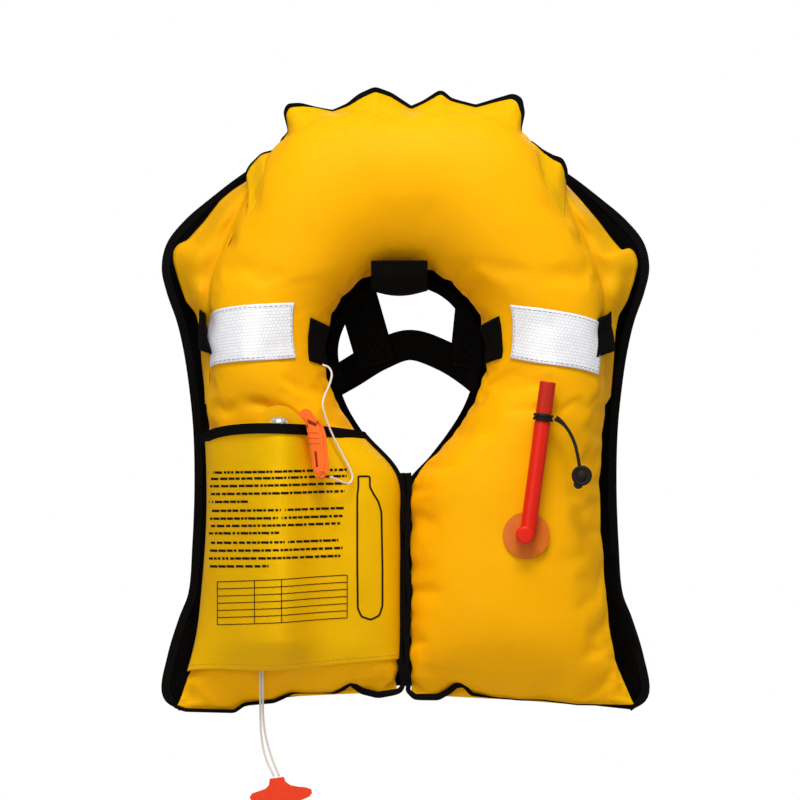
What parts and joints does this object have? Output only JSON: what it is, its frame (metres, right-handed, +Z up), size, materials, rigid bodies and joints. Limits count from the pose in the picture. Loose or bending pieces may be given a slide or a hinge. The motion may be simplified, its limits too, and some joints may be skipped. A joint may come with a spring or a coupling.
{
  "type": "inflatable life jacket",
  "caption": "Horseshoe inflatable life jacket shown inflated, with gas inflator under a pocket flap, oral tube, whistle, reflective tape and webbing harness.",
  "frame": {"origin": "bearing point of the hang loop behind the neck, where a peg carries the jacket", "axes": "+Z up along the hanging jacket, -Y the wearer front, +X to the right in a front view"},
  "size_m": [0.462, 0.2263, 0.6819],
  "materials": {
    "chamber_cloth": "satin coated cloth",
    "shoulder_cloth": "satin coated cloth",
    "flap_cloth": "satin coated cloth",
    "cover_cloth": "matte woven nylon",
    "binding_tape": "ribbed tape",
    "black_webbing": "woven webbing",
    "reflective_tape": "honeycomb retroreflective",
    "flange_film": "translucent film",
    "stem_brass": "turned",
    "black_plastic": "moulded",
    "nut_chrome": "polished",
    "steel_parts": "turned",
    "bottle_steel": "plated",
    "gasket_rubber": "matte",
    "white_cord": "braided",
    "handle_plastic": "moulded",
    "red_tube": "moulded",
    "whistle_plastic": "moulded",
    "cap_rubber": "matte"
  },
  "bodies": {
    "jacket": {"bladder": "chamber_cloth", "shoulder_left": "shoulder_cloth", "shoulder_right": "shoulder_cloth", "cover_left": "cover_cloth", "cover_right": "cover_cloth", "cover_collar": "cover_cloth", "neck_binding": "binding_tape", "edge_binding_left": "binding_tape", "edge_binding_right": "binding_tape", "front_binding_left": "binding_tape", "front_binding_right": "binding_tape", "crown_binding": "binding_tape", "flap_binding": "binding_tape", "retaining_band_left": "black_webbing", "retaining_band_right": "black_webbing", "collar_tab": "black_webbing", "reflective_tape_left": "reflective_tape", "reflective_tape_right": "reflective_tape", "inflator_flap": "flap_cloth", "manifold_flange": "flange_film", "manifold_stem": "stem_brass", "gasket_rear": "gasket_rubber", "gasket_front": "gasket_rubber", "cap_nut": "nut_chrome", "inflator_head": "black_plastic", "gas_bottle": "bottle_steel", "lever_pin": "steel_parts", "pin_spring": "steel_parts", "tube_flange": "flange_film", "tube_elbow": "red_tube", "oral_tube": "red_tube", "mouthpiece": "red_tube", "whistle_lanyard": "white_cord", "hang_loop": "black_webbing", "back_strap_left": "black_webbing", "back_strap_right": "black_webbing", "cross_strap": "black_webbing", "lower_strap_left": "black_webbing", "lower_strap_right": "black_webbing", "belt_back": "black_webbing", "belt_left": "black_webbing", "belt_keeper_left": "black_webbing", "belt_keeper_right": "black_webbing", "buckle_female": "black_plastic"},
    "handle": {"pull_handle": "handle_plastic", "pull_cord_outer": "white_cord", "pull_cord_inner": "white_cord"},
    "lever": {"lever": "black_plastic"},
    "pin": {"piercing_pin": "steel_parts"},
    "valve": {"mouth_valve": "red_tube"},
    "cap": {"cap_tether": "cap_rubber", "dust_cap": "cap_rubber"},
    "whistle": {"whistle": "whistle_plastic"},
    "male_buckle": {"buckle_male": "black_plastic", "belt_right": "black_webbing"},
    "slider": {"belt_slider": "black_plastic"}
  },
  "joints": [
    {"name": "handle_pull", "type": "slide", "parent": "jacket", "child": "handle", "axis": [0, 0, -1], "range_m": [0, 0.0305]},
    {"name": "lever_swing", "type": "hinge", "parent": "jacket", "child": "lever", "pos_m": [-0.1145, -0.135, -0.188], "axis": [0, -1, 0], "range_deg": [0, 60]},
    {"name": "pin_stroke", "type": "slide", "parent": "jacket", "child": "pin", "axis": [0, 0, -1], "range_m": [0, 0.0077], "deforming": ["pin_spring"]},
    {"name": "valve_press", "type": "slide", "parent": "jacket", "child": "valve", "axis": [-0.1321, 0, -0.9912], "range_m": [0, 0.004], "stiffness_N_per_m": 400},
    {"name": "cap_swing", "type": "hinge", "parent": "jacket", "child": "cap", "pos_m": [0.1312, -0.136, -0.1531], "axis": [-0.1321, 0, -0.9912], "range_deg": [0, 110]},
    {"name": "whistle_draw", "type": "slide", "parent": "jacket", "child": "whistle", "axis": [0, 0, 1], "range_m": [0, 0.06]},
    {"name": "buckle_release", "type": "slide", "parent": "jacket", "child": "male_buckle", "axis": [1, 0, 0], "range_m": [0, 0.036]},
    {"name": "slider_adjust", "type": "slide", "parent": "jacket", "child": "slider", "axis": [-1, 0, 0], "range_m": [0, 0.036]}
  ],
  "couplings": [
    {"joint": "lever_swing", "follows": "handle_pull", "rad_per_m": 34.331},
    {"joint": "pin_stroke", "follows": "handle_pull", "ratio": 0.25243}
  ]
}
